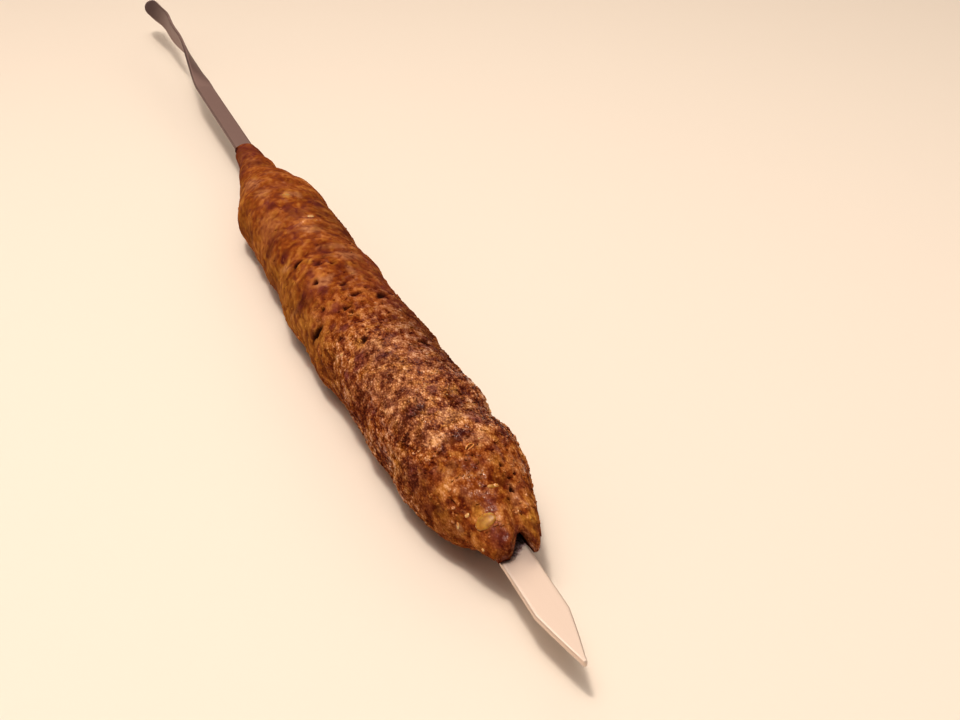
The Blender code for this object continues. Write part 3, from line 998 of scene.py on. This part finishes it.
@dataclass
class KoftaMeat:
    """The roll of grilled mince: its skin with its grain, and the channel's wall."""

    form: RollForm = RollForm()
    relief: MinceRelief = MinceRelief()
    rings: int = 520
    upper_points: int = 132
    under_points: int = 44
    lip_rings: int = 7
    channel_rings: int = 14
    lip_bulge: float = 0.9 * MM
    # Patches of colour: the tint, place along X in mm, angle, half length and half width in mm,
    # the slant of the length from the roll's own in degrees, and strength from 0 to 1.
    # Char rows that sit over pits, and the one over the slit at 226.8 mm, are painted shade.
    patches: tuple = (
        (Tint.RAW, -10, 165, 6, 5, 0, 0.8),
        (Tint.RAW, -20, 190, 5, 5, 0, 0.8),
        (Tint.RAW, 2, 148, 4, 5, 40, 0.7),
        # This row darkens the top of the far end.
        (Tint.RAW, -24, 90, 13, 24, 0, 0.8),
        (Tint.FAT, 35, 173, 40, 8, 0, 0.5),
        (Tint.FAT, 115, 176, 45, 9, 0, 0.6),
        # Painted shade: this row and the next darken the left flank.
        (Tint.RAW, 195, 168, 32, 8, 0, 0.25),
        (Tint.CHAR_AND_SHADE, 130, 154, 42, 6, 0, 0.12),
        # This row darkens the far end's left side.
        (Tint.CHAR_AND_SHADE, -16, 140, 15, 12, 0, 0.22),
        # Painted shadow: this row and the next two darken the right flank, as if a skewer beside it shaded it.
        (Tint.RAW, 145, 50, 60, 9, 0, 0.5),
        (Tint.CHAR_AND_SHADE, 75, 50, 22, 8, 0, 0.32),
        (Tint.CHAR_AND_SHADE, 165, 50, 25, 8, 0, 0.36),
        (Tint.RAW, 174, 74, 22, 6, 0, 0.4),
        (Tint.CHAR_AND_SHADE, 170, 71, 20, 5, 0, 0.15),
        (Tint.TAN, 194, 121, 26, 5, 0, 0.4),
        (Tint.TAN, 180, 117, 10, 4, 0, 0.6),
        (Tint.TAN, 199, 135, 17, 4, 0, 0.55),
        (Tint.TAN, 70, 138, 11, 6, 0, 0.3),
        (Tint.RAW, 71, 96, 6, 3, 0, 0.6),
        (Tint.CHAR_AND_SHADE, 71, 96, 6, 3, 0, 0.15),
        (Tint.TAN, 112, 76, 4, 4, 0, 0.8),
        (Tint.RAW, 128, 134, 5, 5, 0, 0.5),
        (Tint.CHAR_AND_SHADE, 210, 75, 6, 4, 0, 0.15),
        (Tint.TAN, 222, 165, 8, 4, 0, 0.3),
        (Tint.TAN, 181, 165, 8, 4, 0, 0.3),
        (Tint.TAN, 53, 93, 3, 1.6, 0, 0.8),
        (Tint.TAN, 127, 107, 2.4, 1.4, 20, 0.9),
        (Tint.RAW, -2, 115, 6, 12, 0, 0.5),
        (Tint.CHAR_AND_SHADE, -2, 115, 6, 12, 0, 0.18),
        # Painted shade: darkens the nose low on its left side.
        (Tint.CHAR_AND_SHADE, 232, 185, 14, 8, 0, 0.2),
        (Tint.TAN, 27, 128, 7, 4, 0, 0.6),
        (Tint.TAN, 44, 118, 6, 3, 0, 0.5),
        (Tint.RAW, 40, 92, 5, 4, 0, 0.4),
        (Tint.FAT, 54, 94, 2.4, 0.9, 0, 0.9),
        (Tint.TAN, 55, 83, 3, 1.2, 0, 0.8),
        (Tint.RAW, 57, 118, 3, 3, 0, 0.7),
        (Tint.RAW, 65, 101, 4, 1.6, 0, 0.9),
        (Tint.RAW, 62, 68, 5, 3, 0, 0.6),
        (Tint.RAW, 69, 84, 4, 1.5, 10, 0.5),
        (Tint.TAN, 75.5, 85, 2.6, 0.9, 10, 1.0),
        (Tint.RAW, 81, 150, 6, 4, 0, 0.5),
        (Tint.RAW, 85, 112, 6, 2.5, 0, 0.6),
        (Tint.TAN, 86, 92, 3, 4, 60, 0.6),
        (Tint.RAW, 96, 140, 2.6, 3.2, 0, 0.9),
        (Tint.TAN, 101, 149, 5, 1.2, -25, 0.8),
        (Tint.CHAR_AND_SHADE, 107, 131, 2.0, 1.4, 60, 0.8),
        (Tint.FAT, 111, 116, 2.2, 1.2, 0, 0.9),
        (Tint.RAW, 115, 109, 2.0, 1.2, 0, 1.0),
        (Tint.RAW, 108, 95, 4, 1.8, 0, 0.6),
        (Tint.TAN, 104, 84, 2, 4, 20, 0.6),
        (Tint.RAW, 119, 122, 3.5, 1.5, 0, 0.9),
        (Tint.CHAR_AND_SHADE, 125.5, 122, 1.3, 1.0, 0, 0.3),
        (Tint.RAW, 132, 121, 3, 2.2, 0, 1.0),
        (Tint.FAT, 119.5, 81, 1.6, 0.9, 0, 0.9),
        (Tint.TAN, 125, 83, 4, 1.2, 0, 0.8),
        (Tint.TAN, 128, 115, 3, 2.2, 40, 0.8),
        (Tint.RAW, 128, 155, 3.5, 2.4, -40, 0.9),
        (Tint.TAN, 123, 173, 4, 0.8, -40, 1.0),
        (Tint.CHAR_AND_SHADE, 145, 160, 4.0, 1.3, -68, 0.8),
        (Tint.RAW, 135, 98, 3, 1.1, 20, 1.0),
        (Tint.RAW, 145, 120, 2.2, 2.4, 0, 0.9),
        (Tint.CHAR_AND_SHADE, 144, 73, 2.8, 1.2, 40, 0.6),
        (Tint.RAW, 150, 138, 1.6, 1.4, 0, 0.9),
        (Tint.CHAR_AND_SHADE, 159, 138, 1.4, 1.3, 0, 0.5),
        (Tint.RAW, 156, 127, 2, 2, 0, 0.9),
        (Tint.TAN, 164.5, 148, 1.4, 1.0, 0, 1.0),
        (Tint.FAT, 168, 124, 2.6, 1.6, 0, 0.8),
        (Tint.TAN, 172, 112, 2.6, 1.6, 0, 0.8),
        (Tint.RAW, 175, 136, 3.4, 2.2, 30, 1.0),
        (Tint.RAW, 173, 158, 1.6, 2.2, 0, 0.9),
        (Tint.RAW, 179, 112, 1.6, 3.4, 0, 0.9),
        (Tint.CHAR_AND_SHADE, 175, 68, 1.9, 1.6, 0, 0.95),
        (Tint.TAN, 191, 130, 9, 5, 0, 0.35),
        (Tint.RAW, 194, 157, 1.4, 2.4, 0, 0.8),
        (Tint.RAW, 200.8, 92, 2.6, 1.1, 20, 1.0),
        (Tint.RAW, 206.7, 78, 3.4, 1.3, 0, 0.8),
        (Tint.FAT, 201.6, 75, 2.4, 1.4, 0, 0.5),
        (Tint.RAW, 209.8, 103, 1.4, 1.3, 0, 1.0),
        (Tint.RAW, 207, 123, 3.0, 1.8, -30, 0.6),
        (Tint.TAN, 213.4, 93, 3.0, 3.0, 0, 0.7),
        (Tint.TAN, 213, 126, 6, 4, 0, 0.5),
        (Tint.FAT, 216, 96, 3.0, 1.2, 30, 0.5),
        (Tint.RAW, 216, 74, 3.4, 3.0, 0, 0.75),
        (Tint.TAN, 220, 118, 5.0, 2.4, -50, 0.8),
        (Tint.FAT, 214, 172, 5, 3, 0, 0.6),
        (Tint.RAW, 222, 160, 4, 4, 0, 0.5),
        (Tint.FAT, 231, 125, 2.6, 3.0, 0, 0.75),
        (Tint.RAW, 229, 139, 3, 2.2, 0, 0.6),
        (Tint.RAW, 233, 103, 3.4, 3.0, 0, 0.6),
        (Tint.TAN, 224, 84, 2.4, 2.6, 0, 0.5),
        (Tint.FAT, 232, 76, 2.4, 2.2, 0, 0.35),
        (Tint.FAT, 235, 170, 3, 3.4, 0, 0.5),
        (Tint.TAN, 239, 130, 3.0, 2.4, 0, 0.3),
        (Tint.FAT, 243.6, 128, 3.4, 2.6, 0, 0.7),
        (Tint.CHAR_AND_SHADE, 226.8, 94, 0.3, 0.9, -27, 0.8),
        (Tint.TAN, 241, 148, 1.1, 0.9, 0, 1.0),
        (Tint.TAN, 241, 175, 0.9, 1.2, 0, 1.0),
        (Tint.RAW, 246.5, 126, 3.2, 7, 0, 1.0),
        (Tint.FAT, 246.5, 45, 2.5, 5, 0, 0.9),
        (Tint.TAN, 242, 72, 4, 2.2, 0, 0.4),
        (Tint.RAW, 241, 104, 3.0, 1.6, 0, 0.5),
    )

    def angles(self) -> Array:
        """Angles round the section, closer together on top than on the hidden underside."""
        upper = np.linspace(-35, 215, self.upper_points, endpoint=False)
        under = np.linspace(215, 325, self.under_points, endpoint=False)
        return np.concatenate([upper, under]) * DEGREE

    def places(self) -> Array:
        """Places of the rings along X, closer together towards the point and at both ends."""
        share = np.linspace(0, 1, self.rings)
        eased = (1 - np.cos(math.pi * share)) / 2
        share = share + 0.35 * (eased - share) + 0.1 * share * (1 - share)
        return self.form.start + share * (self.form.end - self.form.start)

    def surface(self, x: Array, angles: Array) -> tuple[Array, Array, Array, Array]:
        """The finished skin: the smooth one moved outwards by the grain, and flat on the table.

        Args:
            x: Places along X.
            angles: Angles round the section, of the same shape.

        Returns:
            Points, directions along the roll, outward directions, and the grain's heights.
        """
        points, along, out = self.form.skin_frame(x, angles)
        heights = self.relief.heights(points, x, angles)
        points = points + out * heights[..., None]
        points[..., 2] = np.maximum(points[..., 2], 0.0)
        return points, along, out, heights

    def marks(self, x: Array, angles: Array, heights: Array) -> dict[str, Array]:
        """The numbers that the finish reads: the relief, the grain and a share of each tint.

        Args:
            x: Places along X.
            angles: Angles round the section, of the same shape.
            heights: The grain's heights there.

        Returns:
            Arrays of the same shape, by name.
        """
        smooth = self.form.smooth_skin(x, angles)
        ragged = layered_noise(smooth, 2.6 * MM, 2, 71) * 0.55
        shares = {tint.value: np.zeros(x.shape) for tint in Tint}
        for tint, place, angle, length, width, slant, strength in self.patches:
            ahead = x / MM - place
            aside = turn_apart(angles, angle * DEGREE) * 15.2
            along = ahead * math.cos(slant * DEGREE) + aside * math.sin(slant * DEGREE)
            across = aside * math.cos(slant * DEGREE) - ahead * math.sin(slant * DEGREE)
            out = np.hypot(along / length, across / width) + ragged
            share = strength * smooth_step(1.4 - out)
            shares[tint.value] = np.maximum(shares[tint.value], share)
        pits = self.relief.pit_depths(x, angles) / MM
        # Painted shade: the char tint fills the pits.
        shares["char_and_shade"] = np.maximum(shares["char_and_shade"], smooth_step(pits / 1.1) * 0.9)
        # The relief darkens the colour in hollows and at the thinned start of the roll, partly as painted shade.
        shares["relief"] = 0.5 + heights / (0.9 * MM)
        shares["grain"] = self.relief.grittiness(x)
        shares["basted"] = smooth_step((np.sin(angles) - 0.25) / 0.6)
        return shares

    def build(self, material: bpy.types.Material) -> bpy.types.Object:
        """Loft the skin and the channel's wall into one closed grid, rounded at both mouths.

        Args:
            material: The mince's finish.

        Returns:
            The roll.
        """
        x, angles = np.meshgrid(self.places(), self.angles(), indexing="ij")
        skin, _, _, heights = self.surface(x, angles)
        depth = self.form.mouth_depth * np.linspace(0, 1, 6)
        mouth = self.form.end - depth
        back = np.linspace(mouth[-1], self.form.start, self.channel_rings)[1:]
        inner_x, inner_angles = np.meshgrid(
            np.concatenate([mouth, back]), self.angles(), indexing="ij"
        )
        channel = self.form.channel(inner_x, inner_angles)
        near_lip = self.lip(skin[-1], channel[0], self.lip_bulge)
        far_lip = self.lip(channel[-1], skin[0], -self.lip_bulge / 2)
        sections = np.concatenate([skin, near_lip, channel, far_lip])
        marks = self.marks(x, angles, heights)
        # Painted shade: the channel's wall, seen in the mouth's hole, is given dark raw and char tints.
        inside = {"relief": 0.1, "grain": 0.4, "basted": 0.0, "raw": 0.8, "char_and_shade": 0.5, "tan": 0.0, "fat": 0.0}
        lip_marks = {"relief": 0.45, "grain": 0.7, "basted": 1.0, "raw": 0.4, "char_and_shade": 0.0, "tan": 0.0, "fat": 0.0}
        attributes = {}
        for title, outer in marks.items():
            lip = np.full(near_lip.shape[:2], lip_marks[title])
            wall = np.full(channel.shape[:2], inside[title])
            far = np.full(far_lip.shape[:2], lip_marks[title])
            attributes[title] = np.concatenate([outer, lip, wall, far])
        faces = grid_faces(len(sections), len(self.angles()), closed=True).tolist()
        piece = new_piece("grilled_mince", sections, faces, material, attributes)
        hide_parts("kofta_meat")
        return piece

    def lip(self, first: Array, last: Array, bulge: float) -> Array:
        """Rings from one edge to another that swell out along X by half a sine wave.

        Args:
            first: The ring that the lip starts from.
            last: The ring that it ends at.
            bulge: How far it swells forward, in metres.

        Returns:
            The rings between them.
        """
        share = (np.arange(self.lip_rings) + 1)[:, None, None] / (self.lip_rings + 1)
        rings = first + share * (last - first)
        rough = 1 + 0.5 * soft_noise(rings, 2.2 * MM, 83)
        rings[..., 0] += bulge * np.sin(math.pi * share[..., 0]) * rough
        return rings


@dataclass
class MinceCrumbs:
    """Loose and half-buried crumbs of mince that break up the skin."""

    meat: KoftaMeat
    count: int = 1800
    seed: int = 5

    def build(self, material: bpy.types.Material) -> bpy.types.Object:
        """Scatter pebble-shaped crumbs over the skin, each sunk into it by half.

        Args:
            material: The mince's finish.

        Returns:
            All the crumbs, as one piece.
        """
        rng = np.random.default_rng(self.seed)
        form = self.meat.form
        x = rng.uniform(form.start + 22 * MM, form.end - 2 * MM, self.count * 4)
        angles = rng.uniform(-30, 210, self.count * 4) * DEGREE
        keep = rng.uniform(0, 1, x.shape) < self.meat.relief.grittiness(x) / 1.2
        x, angles = x[keep][: self.count], angles[keep][: self.count]
        points, along, out, heights = self.meat.surface(x, angles)
        marks = self.meat.marks(x, angles, heights)
        sizes = np.stack(
            [rng.uniform(low, high, x.shape) for low, high in ((0.35, 0.8), (0.25, 0.5), (0.15, 0.3))],
            axis=-1,
        )
        turns = rng.uniform(0, 2 * math.pi, x.shape)
        pebbles, faces = pebble_heap(points, along, out, turns, sizes * MM, 0.35, rng)
        marks["relief"] = marks["relief"] + rng.normal(0.1, 0.2, x.shape)
        each = pebbles.shape[1]
        attributes = {title: np.repeat(numbers, each) for title, numbers in marks.items()}
        piece = new_piece("mince_crumbs", pebbles, faces, material, attributes)
        return piece


def pebble_heap(
    points: Array,
    along: Array,
    out: Array,
    turns: Array,
    sizes: Array,
    unevenness: float,
    rng: np.random.Generator,
    rings: int = 3,
    sides: int = 6,
) -> tuple[Array, list]:
    """Make many closed pebbles, one at each point, turned about the outward direction.

    A pebble is a sphere of rings and two poles, stretched by its half sizes and made uneven.

    Args:
        points: The pebbles' middles.
        along: A direction in the surface at each.
        out: The outward direction at each.
        turns: The turn of each pebble's length from that direction, in radians.
        sizes: Half the length, width and height of each.
        unevenness: How far a corner may move, as a share of its distance from the middle.
        rng: Where the random numbers come from.
        rings: Rings between the poles.
        sides: Corners in a ring.

    Returns:
        The vertices, by pebble, and the faces of them all.
    """
    latitude = np.linspace(-90, 90, rings + 2)[1:-1] * DEGREE
    longitude = np.arange(sides) / sides * 2 * math.pi
    ball = np.stack(
        [
            np.cos(latitude)[:, None] * np.cos(longitude),
            np.cos(latitude)[:, None] * np.sin(longitude),
            np.sin(latitude)[:, None] * np.ones(sides),
        ],
        axis=-1,
    ).reshape(-1, 3)
    ball = np.concatenate([ball, [[0, 0, -1], [0, 0, 1]]])
    count, corners = len(points), len(ball)
    turn = turns[:, None]
    aside = np.cross(out, along)
    length = along * np.cos(turn) + aside * np.sin(turn)
    width = np.cross(out, length)
    swell = 1 + rng.uniform(-unevenness, unevenness, (count, corners))
    local = ball[None] * sizes[:, None, :] * swell[..., None]
    axes = np.stack([length, width, out], axis=1)
    vertices = points[:, None, :] + np.einsum("nci,nij->ncj", local, axes)
    walls = grid_faces(rings, sides)
    bottom, top = rings * sides, rings * sides + 1
    ring = np.arange(sides)
    after = (ring + 1) % sides
    first = np.stack([np.full(sides, bottom), after, ring], axis=-1)
    base = (rings - 1) * sides
    last = np.stack([np.full(sides, top), base + ring, base + after], axis=-1)
    offsets = (np.arange(count) * corners)[:, None, None]
    faces = (walls + offsets).reshape(-1, 4).tolist()
    for fan in (first, last):
        faces += (fan + offsets).reshape(-1, 3).tolist()
    return vertices, faces


class Morsel(Enum):
    """What a bit in the meat is."""

    ONION = "onion"
    FAT = "fat"


@dataclass
class EmbeddedMorsels:
    """Bits of onion and fat that show in the skin."""

    meat: KoftaMeat
    # What it is, place along X in mm, angle, half length, width and height in mm, and turn.
    morsels: tuple = (
        (Morsel.ONION, 243.8, 129.5, 2.7, 1.95, 0.6, 86),
        (Morsel.FAT, 239.2, 90, 0.85, 0.6, 0.55, 78),
        (Morsel.ONION, 239.2, 94.5, 1.1, 0.6, 0.45, 78),
        (Morsel.ONION, 207.9, 61, 0.6, 0.35, 0.4, 60),
        (Morsel.ONION, 53.7, 94, 1.6, 0.6, 0.35, 60),
        (Morsel.FAT, 202.2, 19, 1.3, 0.6, 0.6, 30),
        (Morsel.FAT, 164.5, 148, 0.7, 0.4, 0.3, 60),
        (Morsel.FAT, 75.8, 85, 1.2, 0.5, 0.3, 75),
        (Morsel.FAT, 241.3, 148, 0.75, 0.55, 0.4, 70),
        (Morsel.FAT, 240.5, 174, 0.5, 0.9, 0.35, 20),
        (Morsel.FAT, 224.4, 83, 0.24, 0.2, 0.2, 0),
        (Morsel.FAT, 238.2, 106, 0.28, 0.22, 0.2, 0),
        (Morsel.FAT, 227.5, 115, 0.22, 0.2, 0.2, 0),
        (Morsel.FAT, 204.0, 84, 0.24, 0.2, 0.2, 0),
        (Morsel.FAT, 245.6, 178, 0.5, 0.4, 0.4, 0),
    )

    def build(self) -> list[bpy.types.Object]:
        """Press each kind's bits half into the skin, as one piece for each kind."""
        finishes = {
            Morsel.ONION: CookedMorsel("cooked_onion", roughness=0.4),
            Morsel.FAT: CookedMorsel("rendered_fat", "#C08848", "#E8C488", 0.25),
        }
        pieces = []
        for kind, finish in finishes.items():
            rows = np.array([row[1:] for row in self.morsels if row[0] is kind])
            x, angles = rows[:, 0] * MM, rows[:, 1] * DEGREE
            points, along, out, _ = self.meat.surface(x, angles)
            turns, sizes = rows[:, 5] * DEGREE, rows[:, 2:5] * MM
            points = points - out * 0.35 * sizes[:, 2:]
            rng = np.random.default_rng(len(rows))
            bits, faces = pebble_heap(points, along, out, turns, sizes, 0.06, rng, 9, 20)
            piece = new_piece(f"{kind.value}_bits", bits, faces, finish.material())
            pieces.append(piece)
        return pieces


@dataclass
class SkinShreds:
    """Slivers of onion and dried skin that curl up from the surface."""

    meat: KoftaMeat
    rings: int = 12
    sides: int = 8
    # Each sliver's half width and half thickness in mm, then the points it runs through: place
    # along X in mm, angle, and height above the skin in mm.
    slivers: tuple = (
        (0.22, 0.2, ((227.5, 99, -0.1), (226.7, 96.5, 0.1), (226.1, 93, 0.15), (225.9, 90, 0.1))),
        (0.22, 0.2, ((225.9, 90, 0.1), (226.9, 91, 0.12), (227.5, 94.3, 0.1), (227.9, 97.8, -0.1))),
    )

    def build(self) -> bpy.types.Object:
        """Sweep a flat oval along each sliver's path, drawn in to a point at both ends."""
        share = np.linspace(0, 1, self.rings)
        turn = np.arange(self.sides) / self.sides * 2 * math.pi
        vertices, faces = [], []
        for width, thickness, stops in self.slivers:
            rows = tuple((place, *stop) for place, stop in zip(np.linspace(0, 1, len(stops)), stops))
            x, angles, lift = smooth_table(rows, share).T
            points, _, out, _ = self.meat.surface(x * MM, angles * DEGREE)
            path = points + out * lift[:, None] * MM
            ahead = unit(np.gradient(path, axis=0))
            aside = unit(np.cross(ahead, out))
            up = np.cross(aside, ahead)
            swell = np.sqrt(np.clip(1 - (2 * share - 1) ** 4, 0.02, 1))[:, None, None] * MM
            oval = aside[:, None] * np.cos(turn)[:, None] * width
            oval = (oval + up[:, None] * np.sin(turn)[:, None] * thickness) * swell
            first = len(vertices) * self.rings * self.sides
            walls = grid_faces(self.rings, self.sides)[:, ::-1]
            caps = [list(range(self.sides)), list(range((self.rings - 1) * self.sides, self.rings * self.sides))[::-1]]
            faces += (walls + first).tolist() + [[first + corner for corner in cap] for cap in caps]
            vertices.append(path[:, None] + oval)
        finish = CookedMorsel("dried_onion", "#B0702C", "#D89A54", 0.4)
        piece = new_piece("skin_shreds", np.stack(vertices), faces, finish.material())
        return piece


@dataclass
class SteelSkewer:
    """The flat strip of steel, with rounded edges, its point and its twisted handle."""

    form: StripForm = StripForm()
    finish: RolledSteel = RolledSteel()
    edge_points: int = 4
    face_points: int = 13

    def places(self) -> Array:
        """Distances back from the point, from the handle's end forwards."""
        form = self.form
        tab_start = form.length - form.tab_rounding
        point = np.linspace(0, form.point_length, 40)
        blade = np.linspace(form.point_length, 60 * MM, 110)[1:]
        straight = np.linspace(60 * MM, 400 * MM, 70)[1:]
        twisted = np.linspace(400 * MM, tab_start, 150)[1:]
        rounded = tab_start + form.tab_rounding * np.sin(np.linspace(0, math.pi / 2, 24))[1:]
        return np.concatenate([point, blade, straight, twisted, rounded])[::-1]

    def section(self, half: Array) -> tuple[Array, Array]:
        """A rectangle with rounded corners: places across and up, for each half width.

        Args:
            half: Half the width of each section.

        Returns:
            Across and up, each with one row for each section.
        """
        form = self.form
        radius = np.minimum(form.edge_radius, half[:, None] / 2)
        turn = np.linspace(0, 90, self.edge_points) * DEGREE
        across, up = [], []
        for quarter in range(4):
            angle = turn + quarter * 90 * DEGREE
            side = 1 if quarter in (0, 3) else -1
            face = 1 if quarter in (0, 1) else -1
            across.append(side * (half[:, None] - radius) + radius * np.cos(angle))
            up.append(face * (form.thickness / 2 - radius) + radius * np.sin(angle))
            if quarter in (0, 2):
                share = np.linspace(1, -1, self.face_points + 2)[1:-1]
                level = np.full((len(half), self.face_points), face * form.thickness / 2)
                across.append(side * share * (half[:, None] - radius))
                up.append(level)
        return np.concatenate(across, axis=1), np.concatenate(up, axis=1)

    def build(self) -> bpy.types.Object:
        """Carry the section along the strip, turned, woven and sloped, and close both ends."""
        form = self.form
        back = self.places()
        across, up = self.section(form.half_width(back))
        turn = form.turn(back)[:, None]
        weave = smooth_table(form.weave, back / MM) * MM
        y = across * np.cos(turn) - up * np.sin(turn) + weave[:, :1]
        z = across * np.sin(turn) + up * np.cos(turn) + weave[:, 1:]
        sections = np.stack([np.broadcast_to(-back[:, None], y.shape), y, z], axis=-1)
        tilt = np.array(Matrix.Rotation(form.tilt, 3, "Y"))
        sections = sections @ tilt.T + [form.point_x, 0, form.point_height]
        rings, points = y.shape
        faces = grid_faces(rings, points).tolist()
        faces.append(list(reversed(range(points))))
        faces.append(list(range((rings - 1) * points, rings * points)))
        x = sections[..., 0] / MM
        rough = layered_noise(sections, 1.6 * MM, 3, 91)
        # Painted darker reflection: the mask grows towards the handle, dimming the steel.
        painted_dimming = smooth_step((150 - x) / 200) * 0.9 + 0.1
        middle = np.exp(-(((sections[..., 1] / MM + 0.6) / 2.2) ** 2))
        grease = smooth_step((251.6 + 2.6 * middle + 1.8 * rough - x) / 2.6) * (x > 200)
        attributes = {"painted_dimming": painted_dimming, "grease": grease}
        piece = new_piece("steel_strip", sections, faces, self.finish.material(), attributes)
        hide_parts("skewer")
        return piece


@dataclass
class Studio:
    """The pale table, the soft lights and the camera."""

    floor_side: float = 6.0
    camera_ahead: float = 190.0 * MM  # beyond the skewer's point
    camera_aside: float = -95.9 * MM
    camera_height: float = 192.5 * MM
    heading: float = 159.04 * DEGREE
    pitch: float = -28.0 * DEGREE
    lens: float = 50.0
    sensor: float = 36.0

    def build(self) -> None:
        """Set up the floor, the lights and the camera."""
        self.floor()
        self.lights()
        self.camera()

    def floor(self) -> None:
        """A flat square just under the meat."""
        half = self.floor_side / 2
        corners = np.array([[-half, -half, 0], [half, -half, 0], [half, half, 0], [-half, half, 0]])
        mesh = bpy.data.meshes.new("table_top")
        mesh.from_pydata(corners.tolist(), [], [(0, 1, 2, 3)])
        mesh.materials.append(PaleFloor().material())
        floor = bpy.data.objects.new("table_top", mesh)
        bpy.context.scene.collection.objects.link(floor)

    def lights(self) -> None:
        """A key light overhead, a wide dim card behind for the steel, and a graded world."""
        for name, place, size, power, code in (
            ("overhead_softbox", (0.20, -0.22, 1.25), (0.8, 0.8), 7.0, "#FFF8F0"),
            ("sparkle_lamp", (0.30, -0.24, 1.20), (0.16, 0.16), 7.0, "#FFF4E8"),
            ("back_card", (-1.15, 0.43, 0.95), (1.5, 0.9), 5.0, "#FFE9D2"),
            ("left_card", (0.15, -1.3, 0.4), (1.6, 0.5), 1.0, "#FFB870"),
        ):
            lamp = bpy.data.lights.new(name, "AREA")
            lamp.shape, lamp.size, lamp.size_y = "RECTANGLE", *size
            lamp.energy, lamp.color = power, linear_colour(code)[:3]
            light = bpy.data.objects.new(name, lamp)
            light.location = place
            light.rotation_euler = (-Vector(place)).to_track_quat("-Z", "Y").to_euler()
            bpy.context.scene.collection.objects.link(light)
        self.world()
        view = bpy.context.scene.view_settings
        view.view_transform, view.exposure, view.gamma = "Standard", 0.18, 0.9

    def world(self) -> None:
        """A soft sky, dark and warm at the horizon and pale above."""
        world = bpy.data.worlds.new("soft_studio")
        world.use_nodes = True
        tree = world.node_tree
        tree.nodes.clear()
        way = add_node(tree, "ShaderNodeTexCoord").outputs["Generated"]
        height = add_node(tree, "ShaderNodeSeparateXYZ", {"Vector": way}).outputs["Z"]
        stops = ((0.0, "#46342F"), (0.25, "#66514A"), (0.5, "#A39A92"), (1.0, "#A39A92"))
        sky = add_node(tree, "ShaderNodeValToRGB", {"Fac": height}, stops).outputs["Color"]
        light = add_node(tree, "ShaderNodeBackground", {"Color": sky, "Strength": 1.0})
        add_node(tree, "ShaderNodeOutputWorld", {"Surface": light.outputs["Background"]})
        bpy.context.scene.world = world

    def camera(self) -> None:
        """The camera, near the point and above it, looking back along the meat."""
        lens = bpy.data.cameras.new("camera")
        lens.lens, lens.sensor_width = self.lens, self.sensor
        camera = bpy.data.objects.new("camera", lens)
        point_x = CAD_BOX[1][0]
        camera.location = (point_x + self.camera_ahead, self.camera_aside, self.camera_height)
        level = math.cos(self.pitch)
        look = Vector(
            (level * math.cos(self.heading), level * math.sin(self.heading), math.sin(self.pitch))
        )
        camera.rotation_euler = look.to_track_quat("-Z", "Y").to_euler()
        bpy.context.scene.collection.objects.link(camera)
        bpy.context.scene.camera = camera


def report(pieces: list[bpy.types.Object]) -> None:
    """Log each piece's name and size."""
    for piece in pieces:
        sides = " x ".join(f"{side / MM:.1f}" for side in piece.dimensions)
        log.info("%s: %s mm, %d faces", piece.name, sides, len(piece.data.polygons))


def main() -> None:
    """Build the skewer, the meat and all that is in it, then the studio."""
    logging.basicConfig(level=logging.INFO, format="%(message)s")
    Studio().build()
    report([SteelSkewer().build()])
    mince = GrilledMince().material()
    meat = KoftaMeat()
    report([meat.build(mince)])
    report([MinceCrumbs(meat).build(mince)])
    report(EmbeddedMorsels(meat).build())
    report([SkinShreds(meat).build()])


if __name__ == "__main__":
    main()
